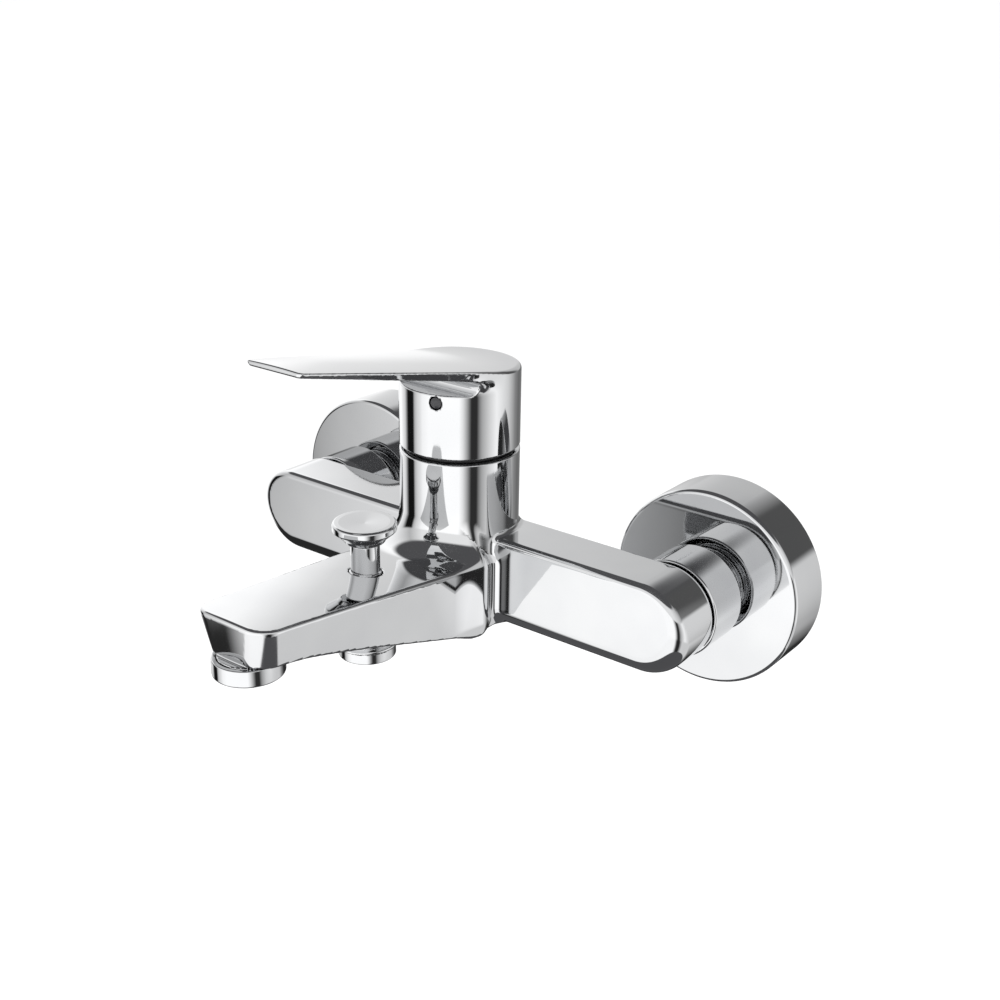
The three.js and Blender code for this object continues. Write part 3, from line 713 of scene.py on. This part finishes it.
def wall_union_shape(x, y, z):
    """The S-shaped union: threaded room end, hexagon, and the wall end on its own lower axis."""
    room = np.maximum(thread(x, y, z, G34, 1.1), np.abs(z - 18.2) - 10.2)
    room = np.maximum(room, both(np.hypot(x, y) - G34 - 0.1, np.abs(z - 18.2) - 10.2, 1.0))
    a = (np.arctan2(y, x) + np.pi / 6) % (np.pi / 3) - np.pi / 6
    flange = both(np.hypot(x, y) * np.cos(a) - 13.2, np.abs(z - 6.2) - 2.2, 0.5)
    yw = y + 7.5
    wall = np.maximum(thread(x, yw, z, G12, 1.0), np.abs(z + 5) - 11)
    wall = np.maximum(wall, both(np.hypot(x, yw) - G12 - 0.1, np.abs(z + 5) - 11, 0.9))
    d = np.minimum(np.minimum(room, flange), wall)
    d = without(d, np.maximum(np.hypot(x, y) - 7.5, 5 - z), 0.4)
    return without(d, np.maximum(np.hypot(x, yw) - 7, z - 6), 0.4)


UNION_SKIN = skin(wall_union_shape, (-17, -19.5, -17.5), (17, 17, 30), 0.45)
ROSETTE_R = (ROSETTE_HIGH[0] - ROSETTE_LOW[0]) / 2
ROSETTE_DEPTH = -ROSETTE_LOW[1]
for side, x in (("left", -INLET_X), ("right", INLET_X)):
    r, depth = ROSETTE_R, ROSETTE_DEPTH
    wall_piece(f"rosette_cover_{side}", f"rosette_{side}", [
        (13.6, depth - 1.5, 0.2), (15.4, depth - 1.5, 0.2), (15.4, depth - 5, 0.3),
        (16.4, depth - 5, 0.3), (16.4, depth - 1.5, 0.5), (r - 1.5, depth - 1.5, 1),
        (r - 1.5, 0, 0.3), (r, 0, 0.3), (r, depth, 1.5), (13.6, depth, 0.4)], x, sides=192)
    wall_piece(f"coupling_nut_{side}", f"union_nut_{side}", [
        (13.4, 22.6, 0.2), (16.7, 22.6, 0.7), (16.7, 39.2, 0.7), (10.1, 39.2, 0.3), (10.1, 35.8, 0.2),
        (13.4, 35.8, 0.4)], x)
    wall_piece(f"inlet_stub_{side}", f"inlet_tail_{side}", [
        (6.6, 31.4, 0.3), (12.4, 31.4, 0.3), (12.4, 35.4, 0.4), (9.7, 35.4, 0.3), (9.7, 41, 0.1),
        (9.4, 41, 0.1), (9.4, 51.5, 0.3), (6.6, 51.5, 0.3)], x)
    wall_piece(f"rosette_centring_ring_{side}", f"rosette_ring_{side}",
               band(13.4, 15.1, 14.2, 17, 0.4), x)
    wall_piece(f"coupling_washer_{side}", f"inlet_washer_{side}", band(8, 12.6, 28.7, 31.1, 0.4), x)
    wall_piece(f"dirt_filter_{side}", f"inlet_filter_{side}",
               disc(7.6, 29.2, 30.2, 0.2), x, False, sides=96)
    union_points, union_normals = from_wall(UNION_SKIN[0], UNION_SKIN[2], x)
    add_piece(f"s_union_{side}", f"wall_union_{side}", union_points, UNION_SKIN[1], union_normals)


# ---------------------------------------------------------------- floor, light and camera
def studio_floor():
    half, below = 60.0, 0.9
    mesh = bpy.data.meshes.new("studio_floor")
    corners = [(sx * half, sy * half, -below) for sx, sy in ((-1, -1), (1, -1), (1, 1), (-1, 1))]
    mesh.from_pydata(corners, [], [(0, 1, 2, 3)])
    obj = bpy.data.objects.new("studio_floor", mesh)
    bpy.context.scene.collection.objects.link(obj)
    mat, tree, shader = new_material("floor_paint", (0.86, 0.86, 0.86), 0.8)
    tree.links.new(spread(tree, noise(tree, 3), 0.75, 0.85), shader.inputs["Roughness"])
    mesh.materials.append(mat)


# The screen round the tower. Its strips are pairs: degrees from straight out of the wall, turning
# towards +X, and brightness.
TENT_R, TENT_FOOT, TENT_HEAD, TENT_SIDES = 0.7, -0.89, 0.95, 96
TENT_MAX = 1.6
TENT_DARK = (0.07, 0.07, 0.073, 1)
TENT_LEVEL = [
    (-180, 0.2), (-158, 0.25), (-152, 0.7), (-147, 1.1), (-133, 1.2), (-127, 1.05), (-103, 1.5),
    (-84, 1.0), (-77, 0.3), (-73, 0.01), (-57, 0.01), (-53, 0.7), (-46, 1.05), (-40, 1.2),
    (-34, 1.45), (-20, 1.6), (38, 1.6), (45, 1.2), (51, 0.7), (56, 0.3), (60, 0.04), (71, 0.04),
    (76, 0.35), (81, 0.6), (97, 1.05), (111, 1.4), (140, 0.95), (164, 0.35), (180, 0.2),
]
TENT_RAISED = [
    (-180, 0.7), (-158, 0.75), (-150, 0.85), (-143, 0.9), (-134, 1.0), (-128, 1.45), (-120, 1.6),
    (-90, 1.2), (-60, 0.7), (-30, 1.2), (60, 1.2), (110, 0.8), (130, 0.5), (141, 0.12), (164, 0.12),
    (175, 0.5), (180, 0.7),
]
TENT_LOWERED = [
    (-180, 0.03), (-49, 0.03), (-44, 0.7), (-38, 1.4), (-10, 1.5), (38, 1.5), (46, 0.9), (51, 0.25),
    (57, 0.03), (73, 0.03), (80, 0.4), (92, 0.95), (150, 0.9), (166, 0.3), (180, 0.03),
]
# Height over radius where the screen's zones change: dark, lowered, level, raised, dark.
ZONES = {"foot": (-1.26, -1.2), "lowered": (-0.62, -0.5), "raised": (0.05, 0.15), "head": (0.62, 0.85)}


def strips(tree, fraction, stops):
    """A colour ramp of vertical strips round the screen."""
    ramp = tree.nodes.new("ShaderNodeValToRGB")
    tree.links.new(fraction, ramp.inputs["Fac"])
    elements = ramp.color_ramp.elements
    for i, (degrees, level) in enumerate(stops):
        spot = (degrees + 180) / 360
        element = elements[i] if i < 2 else elements.new(spot)
        element.position = spot
        level /= TENT_MAX
        element.color = (level, level, level, 1)
    return ramp.outputs["Color"]


def fade(tree, value, start, end, low=0.0, high=1.0):
    node = tree.nodes.new("ShaderNodeMapRange")
    node.interpolation_type = "SMOOTHSTEP"
    for name, number in (("From Min", start), ("From Max", end), ("To Min", low), ("To Max", high)):
        node.inputs[name].default_value = number
    tree.links.new(value, node.inputs["Value"])
    return node.outputs["Result"]


def mixed(tree, factor, first, second):
    node = tree.nodes.new("ShaderNodeMix")
    node.data_type = "RGBA"
    tree.links.new(factor, node.inputs[0])
    tree.links.new(first, node.inputs[6])
    tree.links.new(second, node.inputs[7])
    return node.outputs[2]


def math_node(tree, operation, first, second=None, number=None):
    node = tree.nodes.new("ShaderNodeMath")
    node.operation = operation
    tree.links.new(first, node.inputs[0])
    if second is not None:
        tree.links.new(second, node.inputs[1])
    if number is not None:
        node.inputs[1].default_value = number
    return node.outputs["Value"]


def tent_light(tree, vector, radius):
    """The screen's brightness by direction and height: a colour of 0..1 stands for 0..TENT_MAX."""
    split = tree.nodes.new("ShaderNodeSeparateXYZ")
    tree.links.new(vector, split.inputs["Vector"])
    outwards = math_node(tree, "MULTIPLY", split.outputs["Y"], number=-1)
    angle = math_node(tree, "ARCTAN2", split.outputs["X"], outwards)
    turns = tree.nodes.new("ShaderNodeMapRange")
    turns.inputs["From Min"].default_value = -math.pi
    turns.inputs["From Max"].default_value = math.pi
    tree.links.new(angle, turns.inputs["Value"])
    fraction = turns.outputs["Result"]
    height = math_node(tree, "DIVIDE", split.outputs["Z"], number=radius)
    level = strips(tree, fraction, TENT_LEVEL)
    raised = strips(tree, fraction, TENT_RAISED)
    light = mixed(tree, fade(tree, height, *ZONES["raised"]), level, raised)
    lowered = strips(tree, fraction, TENT_LOWERED)
    light = mixed(tree, fade(tree, height, *ZONES["lowered"], 1, 0), light, lowered)
    dark = tree.nodes.new("ShaderNodeRGB")
    dark.outputs[0].default_value = TENT_DARK
    light = mixed(tree, fade(tree, height, *ZONES["head"]), light, dark.outputs[0])
    return mixed(tree, fade(tree, height, *ZONES["foot"], 1, 0), light, dark.outputs[0])


def studio_tent():
    """A round closed screen that only shows in reflections, where its strips draw the dark lines."""
    sides, turn = TENT_SIDES, 2 * math.pi / TENT_SIDES
    ring = [(TENT_R * math.sin(turn * i), TENT_R * math.cos(turn * i)) for i in range(sides)]
    points = [(x, y, z) for z in (TENT_FOOT, TENT_HEAD) for x, y in ring]
    faces = [(i, (i + 1) % sides, sides + (i + 1) % sides, sides + i) for i in range(sides)]
    faces += [tuple(range(sides)), tuple(range(2 * sides - 1, sides - 1, -1))]
    mesh = bpy.data.meshes.new("studio_tent")
    mesh.from_pydata(points, [], faces)
    obj = bpy.data.objects.new("studio_tent", mesh)
    bpy.context.scene.collection.objects.link(obj)
    obj.location = (0, TOWER_Y * MM, 0)
    mat = bpy.data.materials.new("tent_cloth")
    mat.use_nodes = True
    tree = mat.node_tree
    tree.nodes.clear()
    out = tree.nodes.new("ShaderNodeOutputMaterial")
    glow = tree.nodes.new("ShaderNodeEmission")
    glow.inputs["Strength"].default_value = TENT_MAX
    coords = tree.nodes.new("ShaderNodeTexCoord")
    tree.links.new(tent_light(tree, coords.outputs["Object"], TENT_R), glow.inputs["Color"])
    tree.links.new(glow.outputs["Emission"], out.inputs["Surface"])
    mesh.materials.append(mat)
    obj.visible_camera = False
    obj.visible_diffuse = False
    obj.visible_shadow = False


def studio_world():
    world = bpy.data.worlds.new("daylight")
    bpy.context.scene.world = world
    world.use_nodes = True
    tree = world.node_tree
    background = tree.nodes["Background"]
    coords = tree.nodes.new("ShaderNodeTexCoord")
    split = tree.nodes.new("ShaderNodeSeparateXYZ")
    ramp = tree.nodes.new("ShaderNodeValToRGB")
    ramp.color_ramp.elements[0].color = (0.8, 0.8, 0.81, 1)
    ramp.color_ramp.elements[1].color = (1, 1, 1, 1)
    tree.links.new(coords.outputs["Generated"], split.inputs["Vector"])
    tree.links.new(split.outputs["Z"], ramp.inputs["Fac"])
    tree.links.new(ramp.outputs["Color"], background.inputs["Color"])
    background.inputs["Strength"].default_value = 1.25


def soft_light(name, place, target, size, power):
    data = bpy.data.lights.new(name, "AREA")
    data.shape = "RECTANGLE"
    data.size, data.size_y = size
    data.energy = power
    obj = bpy.data.objects.new(name, data)
    bpy.context.scene.collection.objects.link(obj)
    obj.location = place
    obj.rotation_euler = (Vector(target) - Vector(place)).to_track_quat("-Z", "Y").to_euler()


CAMERA_PLACE = (0.27506, -0.39152, 0.19766)
CAMERA_AZIMUTH, CAMERA_PITCH, CAMERA_ROLL = math.radians(37.51), math.radians(21.81), math.radians(0.85)
CAMERA_LENS = 49.585


def photo_camera():
    pitch, roll = CAMERA_PITCH, CAMERA_ROLL
    level = Vector((math.cos(CAMERA_AZIMUTH), math.sin(CAMERA_AZIMUTH), 0))
    forward = Vector((-level.y * math.cos(pitch), level.x * math.cos(pitch), -math.sin(pitch)))
    rise = level.cross(forward)
    right = math.cos(roll) * level + math.sin(roll) * rise
    up = -math.sin(roll) * level + math.cos(roll) * rise
    data = bpy.data.cameras.new("camera")
    data.lens, data.sensor_width = CAMERA_LENS, 36
    data.clip_start = 0.01
    obj = bpy.data.objects.new("camera", data)
    bpy.context.scene.collection.objects.link(obj)
    turn = Matrix((right, up, -forward)).transposed().to_4x4()
    obj.matrix_world = Matrix.Translation(CAMERA_PLACE) @ turn
    bpy.context.scene.camera = obj


studio_floor()
studio_tent()
studio_world()
soft_light("key", (0.3, -1.2, 1.6), (0, -0.08, 0.02), (1.4, 1.0), 18)
soft_light("top", (-0.4, 0.1, 1.8), (0, -0.08, 0.02), (1.6, 1.6), 14)
photo_camera()
bpy.context.scene.view_settings.view_transform = "Standard"
